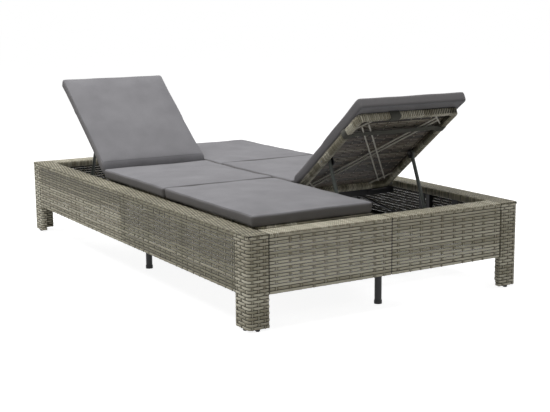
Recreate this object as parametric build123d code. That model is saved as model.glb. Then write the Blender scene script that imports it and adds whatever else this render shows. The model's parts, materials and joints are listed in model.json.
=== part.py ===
from build123d import *
import math
import os

# Double chaise lounger: one woven rattan bed that carries two loungers side by side, head to foot.
# Units are millimetres. X runs along the bed, Y across it, Z up; the origin is on the floor, under
# the middle of the bed. Lounger 2 lies at +Y with its backrest at the +X end. Lounger 1 is lounger 2
# turned half a turn about Z. Everything of a lounger is modelled once, as lounger 2, and turned.

# Bed
bed_length = 2000
bed_width = 1130
rim_height = 317
apron_bottom = 118
rim_width = 80
column_length = 90
column_round = 13
seam_gap = 1

# Weave and tube stock
skin = 4
tube = 18
tube_wall = 1.5
strip_pitch = 11
groove_depth = 1.2
groove_half = 1.0
rim_round = 5
tie_places_shares = (0.5,)

# Panels that carry the cushions
centre_gap = 20
panel_gap = 20
head_gap = 22
backrest_length = 552
seat_length = 553
panel_split_gap = 4
foot_gap = 15
panel_corner = 22
wrap_round = 6
cane_thick = 3
cane_drop = 3
hidden_cane_pitch = 24

# Hinge and recline
rest_angle = 37.5
steepest_angle = 45
pin_radius = 4
running_fit = 0.05
hinge_reach = 20
cradle_gap = 1
cradle_thick = 3
cradle_length = 78
cradle_inset = 8
cradle_turn = 120
cradle_tab = 24

# Prop: a U of round tube that swings under the backrest
prop_place = 250
prop_drop = 3
prop_head_gap = 8
prop_radius = 7
prop_wall = 1.5
prop_bend = 32
prop_side_gap = 3
prop_lean = 22.5
prop_fold = 4.5
prop_plug = 24
prop_tip = 6.5
prop_spacer = 1.8
prop_pin_radius = 3
prop_pin_head = 6
prop_pin_head_thick = 3
bracket_thick = 2.5
bracket_reach = 13
bracket_drop = 20
bracket_round = 10
bracket_gap = 1

# Rack that takes the foot of the prop
rack_plate = 4
rack_depth = 20
notch_depth = 6
notch_angles = (45, 41.25, 37.5, 34, 30.5)
notch_half = 8.5
rack_clearance = 0.5
rack_inset = 48
rack_reach = 207
rack_leg = 22
rack_end_margin = 24
rack_rail = 20
rack_rail_rise = 52
travel_steps = 60
post_width = 34
post_thick = 4
brace_radius = 4
brace_weld = 1
brace_across_share = 0.74

# Rods under the backrest
rod_radius = 3
rod_pair_gap = 26
rod_top_drop = 7
gusset_reach = 74

# Cross rails and centre beam
rail_width = 30
rail_height = 30
rail_wall = 2
beam_width = 30
beam_height = 40
beam_overrun = 45
foot_rail_inset = 25
hinge_plate_thick = 4
hinge_plate_length = 36
hinge_plate_gap = 3

# Support legs and feet
support_radius = 12.5
support_wall = 1.5
support_flange = 3
flange_length = 56
flange_width = 44
support_inset = 117
end_support_inset = 81
cap_radius = 14
cap_height = 12
cap_floor = 4
cap_fit = 0.3
glide_height = 8
glide_radius = 8
glide_stem = 3
glide_foot_round = 2
glide_fit = 0.1
glide_place_share = 0.5

# Fasteners
bolt_radius = 3
bolt_fit = 0.2
bolt_head = 5
bolt_head_thick = 4
bolt_height = 217

# Cushions
cushion_thick = 40
cushion_crown = 5
cushion_lift = 0.3
cushion_corner = 16
cushion_waist = 3
cushion_edge = 7
cushion_gap = 6
cushion_centre_gap = 3
cushion_overhang = 41
cushion_end_inset = 7
cushion_side_overhang = 24
cushion_fold_gap = 1
# Height and inset of each ring of a cushion, bottom to top, as shares of thickness and edge
cushion_ring_shares = ((0, 1), (0.12, 0.28), (0.5, 0), (0.88, 0.28), (1, 1))
cushion_crown_shares = ((0.62, 6), (1, 16))

# Straps that hold the back cushion to its panel
strap_thick = 1.2
strap_width = 30
strap_from_head = 130
strap_fit = 0.3
head_strap_width = 46
head_strap_share = 0.35

# Places that follow from the sizes above
edge = tube + 2 * skin
half_length = bed_length / 2
half_width = bed_width / 2
bay_side = half_width - rim_width
bay_end = half_length - rim_width
panel_in = centre_gap / 2
panel_out = bay_side - panel_gap
panel_top = rim_height
panel_bottom = panel_top - edge
hinge_z = panel_top - edge / 2
hinge_place = bay_end - head_gap - backrest_length
hinge_rail_end = hinge_place - hinge_reach - cradle_gap
seat_split = seat_length - hinge_rail_end
foot_panel_end = bay_end - foot_gap
foot_rail_place = foot_panel_end - foot_rail_inset
prop_length = backrest_length - prop_place - prop_head_gap
rack_front = hinge_place + rack_reach
prop_ratio = -(90 - prop_lean + rest_angle - prop_fold) / rest_angle
prop_in = panel_in + edge + prop_side_gap + prop_radius
prop_out = panel_out - edge - prop_side_gap - prop_radius

nodes = {}


def block(x0, x1, y0, y1, z0, z1):
    """Box between two corners."""
    box = Box(x1 - x0, y1 - y0, z1 - z0, align=(Align.MIN, Align.MIN, Align.MIN))
    return Pos(x0, y0, z0) * box


def prism_x(points, x0, x1):
    """Outline in (y, z), extruded from x0 to x1."""
    face = Plane.YZ.offset(x0) * make_face(Polyline(*points, close=True))
    return extrude(face, amount=x1 - x0)


def prism_y(points, y0, y1):
    """Outline in (x, z), extruded from y0 to y1."""
    face = Plane.XZ.offset(-y1) * make_face(Polyline(*points, close=True))
    return extrude(face, amount=y1 - y0)


def rod(start, end, radius):
    """Round bar between two points."""
    line = Vector(*end) - Vector(*start)
    return Plane(origin=start, z_dir=line) * Cylinder(
        radius, line.length, align=(Align.CENTER, Align.CENTER, Align.MIN))


def fuse(shapes):
    """One shape from a list of shapes."""
    whole = shapes[0]
    for shape in shapes[1:]:
        whole = whole + shape
    return whole


def hollow_bars(bars, wall):
    """Square tube frame from bars given as (x0, x1, y0, y1, z0, z1): one bore runs through all."""
    outer = fuse([block(*bar) for bar in bars])
    inner = [block(x0 + wall, x1 - wall, y0 + wall, y1 - wall, z0 + wall, z1 - wall)
             for x0, x1, y0, y1, z0, z1 in bars]
    for bore in inner:
        outer = outer - bore
    return outer


def other_lounger(shape):
    """Turns a piece of lounger 2 to its place on lounger 1."""
    return shape.rotate(Axis.Z, 180)


def both(name, shape):
    """Stores a piece of lounger 2 and its twin on lounger 1."""
    nodes[name + "_2"] = shape
    nodes[name + "_1"] = other_lounger(shape)


def raised(shape):
    """Turns a backrest piece, modelled flat, up to the angle at which it stands."""
    return shape.rotate(Axis((hinge_place, 0, hinge_z), (0, -1, 0)), rest_angle)


# Woven modules of the bed

def strip_grooves(low, high):
    """Points (depth, z) of an outer wall with a shallow groove between its woven strips."""
    count = max(2, round((high - low) / strip_pitch))
    step = (high - low) / count
    points = []
    for i in range(1, count):
        z = low + i * step
        points += [(0, z - groove_half), (groove_depth, z), (0, z + groove_half)]
    return points


def skin_section():
    """Section (depth, z) of a module: wall, rim, lip round the inner tube, hem round the low tube."""
    lip = rim_height - edge
    section = [(0, apron_bottom)]
    section += strip_grooves(apron_bottom, rim_height - rim_round)
    section += [(0, rim_height - rim_round), (rim_round, rim_height)]
    section += [(rim_width, rim_height), (rim_width, lip), (rim_width - edge, lip)]
    section += [(rim_width - edge, lip + skin), (rim_width - skin, lip + skin)]
    section += [(rim_width - skin, rim_height - skin), (skin, rim_height - skin)]
    section += [(skin, apron_bottom + skin), (edge - skin, apron_bottom + skin)]
    section += [(edge - skin, apron_bottom + edge), (edge, apron_bottom + edge)]
    section += [(edge, apron_bottom)]
    return section


def column_prism(inset, z0, z1):
    """L-shaped corner column, inset from its own outer faces, with a round outer corner."""
    x0 = half_length - column_length + inset
    x1 = half_length - inset
    y0 = half_width - rim_width + inset
    y1 = half_width - inset
    inner_x = half_length - edge + inset
    inner_y = half_width - edge + inset
    points = [(x1, y1), (x0, y1), (x0, inner_y), (inner_x, inner_y), (inner_x, y0), (x1, y0)]
    column = extrude(Pos(0, 0, z0) * make_face(Polyline(*points, close=True)), amount=z1 - z0)
    corner = column.edges().filter_by(Axis.Z).sort_by(Axis.X)[-2:].sort_by(Axis.Y)[-1:]
    return fillet(corner, column_round - inset)


def side_bars():
    """Square tubes inside a half of a long side."""
    low = half_width - skin - tube
    high = half_width - skin
    inner = bay_side + skin
    top = rim_height - skin
    bottom = apron_bottom + skin
    start = seam_gap / 2
    column = half_length - column_length + skin
    bars = [
        (start, column, low, high, top - tube, top),
        (start, half_length - skin, inner, inner + tube, top - tube, top),
        (start, column, low, high, bottom, bottom + tube),
        (start, start + tube, low, high, bottom, top),
        (start, start + tube, inner, high, top - tube, top),
    ]
    for share in tie_places_shares:
        place = share * half_length
        bars.append((place, place + tube, inner, high, top - tube, top))
        bars.append((place, place + tube, low, high, bottom, top))
    return bars


def end_bars():
    """Square tubes inside a half of a short end."""
    low = half_length - skin - tube
    high = half_length - skin
    inner = bay_end + skin
    top = rim_height - skin
    bottom = apron_bottom + skin
    start = seam_gap / 2
    stop = bay_side - seam_gap / 2
    bars = [
        (low, high, start, stop, top - tube, top),
        (inner, inner + tube, start, stop, top - tube, top),
        (low, high, start, stop, bottom, bottom + tube),
    ]
    for place in (start, stop - tube):
        bars.append((low, high, place, place + tube, bottom, top))
        bars.append((inner, high, place, place + tube, top - tube, top))
    return bars


def bolt(point, axis, grip):
    """Hexagon bolt with its nut, centred on a point, along an axis, as (solids, hole)."""
    place = Plane(origin=point, z_dir=axis)
    centred = (Align.CENTER, Align.CENTER, Align.CENTER)
    shank = Cylinder(bolt_radius, grip + 2 * bolt_head_thick, align=centred)
    head = extrude(RegularPolygon(bolt_head, 6), amount=bolt_head_thick)
    whole = shank + Pos(0, 0, grip / 2) * head + Pos(0, 0, -grip / 2 - bolt_head_thick) * head
    hole = Cylinder(bolt_radius + bolt_fit, grip + 2 * bolt_head_thick, align=centred)
    return place * whole, place * hole


def module_bolts():
    """Bolts that join the modules: at each long seam, each end seam and each corner column."""
    upright = tube + seam_gap / 2
    wall = skin + tube / 2
    column_grip = tube + seam_gap / 2 + skin + tube_wall
    column_middle = bay_side - seam_gap / 2 - tube + column_grip / 2
    found = []
    for sign in (1, -1):
        found.append(bolt((0, sign * (half_width - wall), bolt_height), (1, 0, 0), 2 * upright))
        found.append(bolt((sign * (half_length - wall), 0, bolt_height), (0, 1, 0), 2 * upright))
        for side in (1, -1):
            place = (sign * (half_length - wall), side * column_middle, bolt_height)
            found.append(bolt(place, (0, side, 0), column_grip))
    return found


def rail_places():
    """X of the cross rails under lounger 2, other than the hinge rail."""
    return (0, -seat_split, -foot_rail_place)


def rail_bolts():
    """Bolts that hang the cross rails of both loungers on the inner tube of the long sides."""
    top = rim_height - skin - tube + tube_wall
    bottom = panel_bottom - rail_height
    across = bay_side + skin + tube / 2
    places = [hinge_rail_end - rail_width / 2, -seat_split, -foot_rail_place]
    places += [-tube / 2 - seam_gap / 2, tube / 2 + seam_gap / 2]
    found = []
    for place in places:
        for sign in (1, -1):
            middle = (sign * place, sign * across, (top + bottom) / 2)
            found.append(bolt(middle, (0, 0, 1), top - bottom))
    return found


def hinge_pin_holes():
    """Bores of both hinge pins of lounger 2, right through whatever they meet."""
    return rod((hinge_place, 0, hinge_z), (hinge_place, half_width, hinge_z), pin_radius)


def cut_all(shape, cutters):
    """Takes cutters that reach a shape out of it."""
    box = shape.bounding_box()
    for cutter in cutters:
        reach = cutter.bounding_box()
        apart = (reach.min.X > box.max.X or reach.max.X < box.min.X
                 or reach.min.Y > box.max.Y or reach.max.Y < box.min.Y)
        if not apart:
            shape = shape - cutter
    return shape


def bed_modules(holes):
    """Four long-side halves with their corner columns and four end halves."""
    start = seam_gap / 2
    section = skin_section()
    side_face = [(half_width - depth, z) for depth, z in section]
    end_face = [(half_length - depth, z) for depth, z in section]
    steel_top = rim_height - skin
    steel_bottom = glide_height + skin
    steel_column = (column_prism(skin, steel_bottom, steel_top)
                    - column_prism(skin + tube_wall, steel_bottom + tube_wall, steel_top - tube_wall))
    side_steel = hollow_bars(side_bars(), tube_wall) + steel_column
    end_steel = hollow_bars(end_bars(), tube_wall)

    far = half_length - column_length
    wall = prism_x(side_face, start, half_length - edge)
    column = column_prism(0, glide_height, rim_height)
    cap = block(far, half_length, bay_side, half_width, steel_top, rim_height)
    cap_corner = cap.edges().filter_by(Axis.Z).sort_by(Axis.X)[-2:].sort_by(Axis.Y)[-1:]
    cap = fillet(cap_corner, column_round)
    side_skin = wall + column + cap
    side_skin = side_skin - column_prism(skin, steel_bottom, steel_top)
    side_skin = side_skin - fuse([block(*bar) for bar in side_bars()])
    side_skin = cut_all(side_skin, [rod((x, y, 0), (x, y, steel_bottom), glide_stem + glide_fit)
                                    for x, y in glide_places()])
    end_skin = prism_y(end_face, start, bay_side - start)
    end_skin = end_skin - fuse([block(*bar) for bar in end_bars()])

    hinge_hole = hinge_pin_holes()
    for number, (sx, sy) in enumerate(((1, 1), (-1, 1), (-1, -1), (1, -1)), start=1):
        def placed(shape):
            if sx != sy and sx < 0:
                return mirror(shape, about=Plane.YZ)
            if sx != sy:
                return mirror(shape, about=Plane.XZ)
            return shape if sx > 0 else other_lounger(shape)
        drilled = sx == sy
        steel = side_steel - hinge_hole if drilled else side_steel
        woven = side_skin - hinge_hole if drilled else side_skin
        nodes[f"side_frame_{number}"] = cut_all(placed(steel), holes)
        nodes[f"side_weave_{number}"] = cut_all(placed(woven), holes)
        nodes[f"end_frame_{number}"] = cut_all(placed(end_steel), holes)
        nodes[f"end_weave_{number}"] = cut_all(placed(end_skin), holes)


# Rails, beam and legs

def rail(place, holes):
    """Cross rail from the centre beam to under the lip of the long side, centred on x."""
    bar = (place - rail_width / 2, place + rail_width / 2, beam_width / 2,
           bay_side + edge, panel_bottom - rail_height, panel_bottom)
    return cut_all(hollow_bars([bar], rail_wall), holes)


def brace():
    """Thin diagonal stay from the hinge rail down to the front rail of the rack."""
    across = panel_in + brace_across_share * (panel_out - panel_in)
    low = panel_bottom - rail_height
    level = low - brace_radius + brace_weld
    start = (hinge_rail_end - rail_width / 2, across, level)
    knee = (hinge_place, across, level)
    end = (rack_front - rack_rail / 2, across, rack_tips() + rack_rail_rise + brace_radius)
    joint = Pos(*knee) * Sphere(brace_radius)
    return rod(start, knee, brace_radius) + joint + rod(knee, end, brace_radius)


def centre_beam():
    """Box beam along the middle, with the plates that hold the inner hinge pins welded on top."""
    reach = bay_end + beam_overrun
    beam = hollow_bars([(-reach, reach, -beam_width / 2, beam_width / 2,
                         panel_bottom - beam_height, panel_bottom)], rail_wall)
    plate = block(hinge_place - hinge_plate_length / 2, hinge_place + hinge_plate_length / 2,
                  hinge_plate_gap, hinge_plate_gap + hinge_plate_thick, panel_bottom,
                  rim_height - skin)
    plate = plate - hinge_pin_holes()
    return beam + plate + other_lounger(plate)


def support_leg(x, y, top):
    """Round leg with its flange, and the moulded cap that it stands in, as two shapes."""
    base = cap_floor
    place = Pos(x, y, 0)
    upright = (Align.CENTER, Align.CENTER, Align.MIN)
    pipe = Pos(0, 0, base) * (Cylinder(support_radius, top - base, align=upright)
                              - Cylinder(support_radius - support_wall, top - base, align=upright))
    flange = Pos(0, 0, top - support_flange) * Box(
        flange_length, flange_width, support_flange, align=upright)
    outer = Cylinder(cap_radius, cap_height, align=upright)
    socket = Pos(0, 0, base) * Cylinder(support_radius + cap_fit, cap_height, align=upright)
    return place * (pipe + flange), place * (outer - socket)


def glide_places():
    """Centres (x, y) of the two glides under the corner column at +X, +Y."""
    wall = edge / 2
    return ((half_length - glide_place_share * column_length, half_width - wall),
            (half_length - wall, half_width - glide_place_share * rim_width))


def legs_and_feet():
    """Four round support legs with caps, and two glides under each corner column."""
    rail_bottom = panel_bottom - rail_height
    beam_bottom = panel_bottom - beam_height
    places = []
    for sign in (1, -1):
        places.append((sign * (half_length - end_support_inset), 0, beam_bottom))
        places.append((0, sign * (half_width - support_inset), rail_bottom))
    legs = [support_leg(*place) for place in places]
    nodes["support_legs"] = Compound(children=[leg for leg, foot in legs])
    nodes["support_leg_caps"] = Compound(children=[foot for leg, foot in legs])

    upright = (Align.CENTER, Align.CENTER, Align.MIN)
    foot = Cylinder(glide_radius, glide_height, align=upright)
    foot = chamfer(foot.faces().sort_by(Axis.Z)[0].edges(), glide_foot_round)
    foot = foot + Pos(0, 0, glide_height) * Cylinder(glide_stem, skin, align=upright)
    glides = [Pos(sx * x, sy * y, 0) * foot
              for sx in (1, -1) for sy in (1, -1) for x, y in glide_places()]
    nodes["corner_glides"] = Compound(children=glides)


# Panels

def panel_opening(x0, x1, corner):
    """What the loop of a panel leaves open in its middle, over the depth of the loop."""
    outline = RectangleRounded(x1 - x0 - 2 * edge, panel_out - panel_in - 2 * edge, corner / 2)
    face = Pos((x0 + x1) / 2, (panel_in + panel_out) / 2, panel_bottom) * outline
    return extrude(face, amount=edge)


def panel_sleeve(x0, x1, y0, y1, corner, inset):
    """Closed loop of square section round a panel, inset from its outer faces on all sides."""
    def slab(grow, radius):
        outline = RectangleRounded(x1 - x0 - 2 * grow, y1 - y0 - 2 * grow, radius)
        face = Pos((x0 + x1) / 2, (y0 + y1) / 2, panel_bottom + inset) * outline
        return extrude(face, amount=edge - 2 * inset)
    hole_corner = corner / 2
    return slab(inset, corner - inset) - slab(edge - inset, hole_corner)


def cane(x0, x1, y0, y1, pitch):
    """Woven field inside a loop: one ribbed sheet, its strips running across the lounger."""
    top = panel_top - cane_drop
    bottom = top - cane_thick
    count = max(2, round((x1 - x0) / pitch))
    step = (x1 - x0) / count
    dip = cane_thick / 3
    above = [(x0, top)]
    below = [(x0, bottom)]
    for i in range(1, count):
        x = x0 + i * step
        above += [(x - groove_half, top), (x, top - dip), (x + groove_half, top)]
        below += [(x - groove_half, bottom), (x, bottom + dip), (x + groove_half, bottom)]
    above.append((x1, top))
    below.append((x1, bottom))
    return prism_y(above + below[::-1], y0, y1)


def panel(x0, x1, corner, pitch):
    """Tube loop, woven wrap and woven field of one panel, modelled flat."""
    steel = (panel_sleeve(x0, x1, panel_in, panel_out, corner, skin)
             - panel_sleeve(x0, x1, panel_in, panel_out, corner, skin + tube_wall))
    wrap = panel_sleeve(x0, x1, panel_in, panel_out, corner, 0)
    field = cane(x0 + edge, x1 - edge, panel_in + edge, panel_out - edge, pitch)
    field = field & panel_opening(x0, x1, corner)
    return steel, wrap, field


def fixed_panels():
    """Seat and foot panels, lying on the rails."""
    places = {
        "seat": (-seat_split + panel_split_gap / 2, hinge_rail_end),
        "foot": (-foot_panel_end, -seat_split - panel_split_gap / 2),
    }
    for name, (x0, x1) in places.items():
        corner = panel_corner / 2
        steel, wrap, field = panel(x0, x1, corner, hidden_cane_pitch)
        wrap = wrap - panel_sleeve(x0, x1, panel_in, panel_out, corner, skin)
        both(f"{name}_panel_frame", steel)
        both(f"{name}_panel_weave", wrap + field)


def backrest_rods():
    """Two crossing pairs of thin rods, and a gusset rod across each inner corner."""
    x0 = hinge_place + edge / 2
    x1 = hinge_place + backrest_length - edge
    y0 = panel_in + edge
    y1 = panel_out - edge
    z = panel_top - rod_top_drop - rod_radius
    parts = []
    corners = {}
    for x, sx in ((x0, 1), (x1, -1)):
        for y, sy in ((y0, 1), (y1, -1)):
            start = (x, y + sy * gusset_reach, z)
            end = (x + sx * gusset_reach, y, z)
            parts.append(rod(start, end, rod_radius))
            corners[(sx, sy)] = (x + sx * gusset_reach / 2, y + sy * gusset_reach / 2)
    for layer, ends in enumerate((((1, 1), (-1, -1)), ((1, -1), (-1, 1)))):
        (ax, ay), (bx, by) = corners[ends[0]], corners[ends[1]]
        run = Vector(bx - ax, by - ay, 0).normalized()
        level = z - layer * 2 * rod_radius
        for side in (1, -1):
            shift = Vector(-run.Y, run.X, 0) * (side * rod_pair_gap / 2)
            start = (ax + shift.X, ay + shift.Y, level)
            end = (bx + shift.X, by + shift.Y, level)
            parts.append(rod(start, end, rod_radius))
    opening = panel_opening(hinge_place - edge / 2, hinge_place + backrest_length, panel_corner)
    return fuse(parts) & opening


def back_panel():
    """Backrest: tube loop, wrap, woven field, rods, with bores for the hinge and prop pins."""
    x0 = hinge_place - edge / 2
    x1 = hinge_place + backrest_length
    steel, wrap, field = panel(x0, x1, panel_corner, strip_pitch)
    rounding = [e for e in wrap.edges() if e.geom_type == GeomType.LINE
                and abs(e.tangent_at(0).Z) < 0.5]
    rounding += [e for e in wrap.edges() if e.geom_type == GeomType.CIRCLE]
    wrap = fillet(rounding, wrap_round)
    wrap = wrap - panel_sleeve(x0, x1, panel_in, panel_out, panel_corner, skin)
    hinge_bore = rod((hinge_place, 0, hinge_z), (hinge_place, half_width, hinge_z),
                     pin_radius + running_fit)
    pivot = hinge_place + prop_place
    prop_bores = rod((pivot, 0, hinge_z - prop_drop), (pivot, half_width, hinge_z - prop_drop),
                     prop_pin_radius)
    keep = block(x0 - edge, x1 + edge, panel_in + edge, panel_out - edge, 0, panel_top + edge)
    bores = (hinge_bore + prop_bores) - keep
    both("backrest_frame", raised(steel - bores))
    both("backrest_wrap", raised(wrap - bores))
    both("backrest_cane", raised(field))
    both("backrest_rods", raised(backrest_rods()))


# Hinge

def hinge_pins():
    """Outer pin through the lip of the long side and inner pin through the plate on the beam."""
    depth = edge - skin
    outer = rod((hinge_place, panel_out - depth, hinge_z),
                (hinge_place, bay_side + skin + tube, hinge_z), pin_radius)
    outer_head = rod((hinge_place, bay_side + skin + tube, hinge_z),
                     (hinge_place, bay_side + skin + tube + bolt_head_thick, hinge_z),
                     2 * pin_radius)
    plate = hinge_plate_gap + hinge_plate_thick
    inner = rod((hinge_place, hinge_plate_gap, hinge_z),
                (hinge_place, panel_in + depth, hinge_z), pin_radius)
    washer = rod((hinge_place, plate, hinge_z),
                 (hinge_place, panel_in - running_fit, hinge_z), 2 * pin_radius)
    washer_out = rod((hinge_place, panel_out + running_fit, hinge_z),
                     (hinge_place, bay_side, hinge_z), 2 * pin_radius)
    both("hinge_pins", Compound(children=[outer + outer_head + washer_out, inner + washer]))


def hinge_cradles():
    """Curved brackets on the hinge rail in which the lower edge of the backrest lies."""
    inner = hinge_reach - cradle_thick
    centre = (hinge_place, hinge_z)
    outer = hinge_reach
    turn = math.radians(180 + cradle_turn)
    half = math.radians(180 + cradle_turn / 2)

    def spot(radius, angle):
        return (centre[0] + radius * math.cos(angle), centre[1] + radius * math.sin(angle))
    arc_out = ThreePointArc(spot(outer, math.pi), spot(outer, half), spot(outer, turn))
    arc_in = ThreePointArc(spot(inner, turn), spot(inner, half), spot(inner, math.pi))
    sides = [Line(arc_out @ 1, arc_in @ 0), Line(arc_in @ 1, arc_out @ 0)]
    face = make_face([arc_out, arc_in] + sides)
    trough = extrude(Plane.XZ * face, amount=-cradle_length)
    low = panel_bottom - cradle_tab
    tab = block(hinge_rail_end, hinge_rail_end + cradle_thick + cradle_gap, 0, cradle_length,
                low, hinge_z)
    bracket = trough + tab
    pieces = [Pos(0, panel_in + cradle_inset, 0) * bracket,
              Pos(0, panel_out - cradle_inset - cradle_length, 0) * bracket]
    both("hinge_cradles", Compound(children=pieces))


# Prop and rack

def prop_pose(angle):
    """Pivot and foot of the prop, in (x, z), with the backrest at an angle in degrees."""
    tilt = math.radians(angle)
    pivot_x = hinge_place + prop_place * math.cos(tilt) + prop_drop * math.sin(tilt)
    pivot_z = hinge_z + prop_place * math.sin(tilt) - prop_drop * math.cos(tilt)
    swing = angle - (90 - prop_lean) - rest_angle + prop_ratio * (angle - rest_angle)
    turn = math.radians(swing)
    foot_x = pivot_x + prop_length * math.cos(turn)
    foot_z = pivot_z + prop_length * math.sin(turn)
    return pivot_x, pivot_z, foot_x, foot_z


def prop():
    """U of round tube at rest, its bore stopped short of the arm ends, which are bored for the pins."""
    pivot_x, pivot_z, foot_x, foot_z = prop_pose(rest_angle)
    along = Vector(foot_x - pivot_x, 0, foot_z - pivot_z).normalized()
    across = Vector(0, 1, 0)
    plane = Plane(origin=(pivot_x, 0, pivot_z), x_dir=across, z_dir=across.cross(along))

    def swept(start, radius):
        points = [(prop_in, start), (prop_in, prop_length), (prop_out, prop_length), (prop_out, start)]
        path = plane * FilletPolyline(*points, radius=prop_bend)
        return sweep(Plane(origin=path @ 0, z_dir=path % 0) * Circle(radius), path=path)
    body = swept(-prop_tip, prop_radius) - swept(prop_plug - prop_tip, prop_radius - prop_wall)
    bore = rod((pivot_x, 0, pivot_z), (pivot_x, half_width, pivot_z), prop_pin_radius + running_fit)
    return body - bore


def prop_brackets():
    """Bent plates on the side tubes of the backrest, each holding a pin on the free side of its arm."""
    pivot = hinge_place + prop_place
    z = hinge_z - prop_drop
    top = panel_top - cane_drop - cane_thick - bracket_gap
    x0 = pivot - bracket_reach
    x1 = pivot + bracket_reach
    bore = rod((pivot, 0, z), (pivot, half_width, z), prop_pin_radius)
    brackets = []
    for face, arm, sign in ((panel_in + edge, prop_in, 1), (panel_out - edge, prop_out, -1)):
        near = arm + sign * (prop_radius + bracket_gap)
        far = near + sign * bracket_thick
        cheek = block(x0, x1, min(near, far), max(near, far), z - bracket_drop, top)
        low_edges = cheek.edges().filter_by(Axis.Y).sort_by(Axis.Z)[:2]
        cheek = fillet(low_edges, bracket_round)
        web = block(x0, x0 + bracket_thick, min(face, far), max(face, far), z, top)
        brackets.append(cheek + web - bore)
    return raised(Compound(children=brackets))


def prop_pins():
    """Headed pins through the side tubes of the backrest and the arm ends of the prop."""
    pivot = hinge_place + prop_place
    z = hinge_z - prop_drop
    tip = bracket_gap + bracket_thick + prop_pin_head_thick
    pins = []
    for start, face, arm, sign in ((panel_in, panel_in + edge, prop_in, 1),
                                   (panel_out, panel_out - edge, prop_out, -1)):
        far = arm + sign * (prop_radius + tip)
        pin = rod((pivot, start, z), (pivot, far, z), prop_pin_radius)
        head = rod((pivot, far, z), (pivot, far - sign * prop_pin_head_thick, z), prop_pin_head)
        spacer = rod((pivot, face, z), (pivot, face + sign * prop_spacer, z), prop_pin_head)
        pins.append(pin + head + spacer)
    return raised(Compound(children=pins))


def rack_tips():
    """Height of the tooth tips of the rack, just clear of the foot of the prop over its travel."""
    angles = [steepest_angle * i / travel_steps for i in range(travel_steps + 1)]
    return min(prop_pose(angle)[3] for angle in angles) - prop_radius - rack_clearance


def rack_plate_outline():
    """Outline (x, z) of a toothed plate: a leg hung from the front rail, then the notched arm."""
    tips = rack_tips()
    bottom = tips - rack_depth
    rail_bottom = tips + rack_rail_rise - rack_rail
    arm_end = prop_pose(min(notch_angles))[2] + rack_end_margin
    front = rack_front - rack_leg
    points = [(front, bottom), (front, rail_bottom)]
    points += [(rack_front + post_thick, rail_bottom), (rack_front + post_thick, tips)]
    for angle in sorted(notch_angles, reverse=True):
        place = prop_pose(angle)[2]
        low = tips - notch_depth
        points += [(place - notch_half, tips), (place - notch_half / 2, low)]
        points += [(place + notch_half / 2, low), (place + notch_half, tips)]
    points += [(arm_end, tips), (arm_end, bottom)]
    return points


def prop_rack():
    """Two rails hung between the beam and the long side, carrying two toothed plates."""
    tips = rack_tips()
    top = tips + rack_rail_rise
    arm_end = prop_pose(min(notch_angles))[2] + rack_end_margin
    inner = beam_width / 2
    front = (rack_front - rack_rail, rack_front, inner, bay_side, top - rack_rail, top)
    back = (arm_end - rack_rail, arm_end, inner, bay_side, tips - rack_depth - rack_rail,
            tips - rack_depth)
    parts = [hollow_bars([front], tube_wall), hollow_bars([back], tube_wall)]
    outline = rack_plate_outline()
    for y in (prop_in + rack_inset, prop_out - rack_inset - rack_plate):
        parts.append(prism_y(outline, y, y + rack_plate))
    for bar in (front, back):
        middle = (bar[0] + bar[1]) / 2
        x0 = middle - post_width / 2
        x1 = middle + post_width / 2
        parts.append(block(x0, x1, bay_side, bay_side + post_thick, bar[4], panel_bottom))
        parts.append(block(x0, x1, bay_side, bay_side + edge, panel_bottom - post_thick,
                           panel_bottom))
        parts.append(block(x0, x1, inner, inner + post_thick, bar[4], panel_bottom - post_thick))
    return fuse(parts)


# Cushions and straps

def ring(x0, x1, y0, y1, z, inset):
    """Closed outline of a cushion at one height, its sides drawn in between its corners."""
    r = cushion_corner
    w = cushion_waist
    x0, x1, y0, y1 = x0 + inset, x1 - inset, y0 + inset, y1 - inset
    mx = (x0 + x1) / 2
    my = (y0 + y1) / 2
    k = r * (1 - math.sqrt(0.5))
    edges = [
        ThreePointArc((x0 + r, y0), (mx, y0 + w), (x1 - r, y0)),
        ThreePointArc((x1 - r, y0), (x1 - k, y0 + k), (x1, y0 + r)),
        ThreePointArc((x1, y0 + r), (x1 - w, my), (x1, y1 - r)),
        ThreePointArc((x1, y1 - r), (x1 - k, y1 - k), (x1 - r, y1)),
        ThreePointArc((x1 - r, y1), (mx, y1 - w), (x0 + r, y1)),
        ThreePointArc((x0 + r, y1), (x0 + k, y1 - k), (x0, y1 - r)),
        ThreePointArc((x0, y1 - r), (x0 + w, my), (x0, y0 + r)),
        ThreePointArc((x0, y0 + r), (x0 + k, y0 + k), (x0 + r, y0)),
    ]
    return Pos(0, 0, z) * Wire(edges)


def cushion(x0, x1, y0, y1, slope):
    """Crowned cushion with drawn-in sides; slope leans its hinge end back as it rises."""
    base = panel_top + cushion_lift
    rings = []
    for height, inset in cushion_ring_shares:
        z = height * cushion_thick
        rings.append(ring(x0 + slope * z, x1, y0, y1, base + z, inset * cushion_edge))
    for height, inset in cushion_crown_shares:
        z = cushion_thick + height * cushion_crown
        rings.append(ring(x0 + slope * z, x1, y0, y1, base + z, inset * cushion_edge))
    return Solid.make_loft(rings, True)


def cushions():
    """Back, seat and foot cushions of both loungers."""
    y0 = cushion_centre_gap
    y1 = panel_out + cushion_side_overhang
    lean = math.tan(math.radians(steepest_angle))
    rise = edge / 2 + cushion_lift
    start = hinge_place + (cushion_fold_gap + rise * math.sin(math.radians(steepest_angle))) / (
        math.cos(math.radians(steepest_angle)))
    head = hinge_place + backrest_length + cushion_overhang
    both("back_cushion", raised(cushion(start, head, y0, y1, lean)))
    seat_x0 = -seat_split + cushion_gap / 2
    both("seat_cushion", cushion(seat_x0, hinge_place, y0, y1, 0))
    foot = -foot_panel_end + cushion_end_inset
    both("foot_cushion", cushion(foot, -seat_split - cushion_gap / 2, y0, y1, 0))


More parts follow.
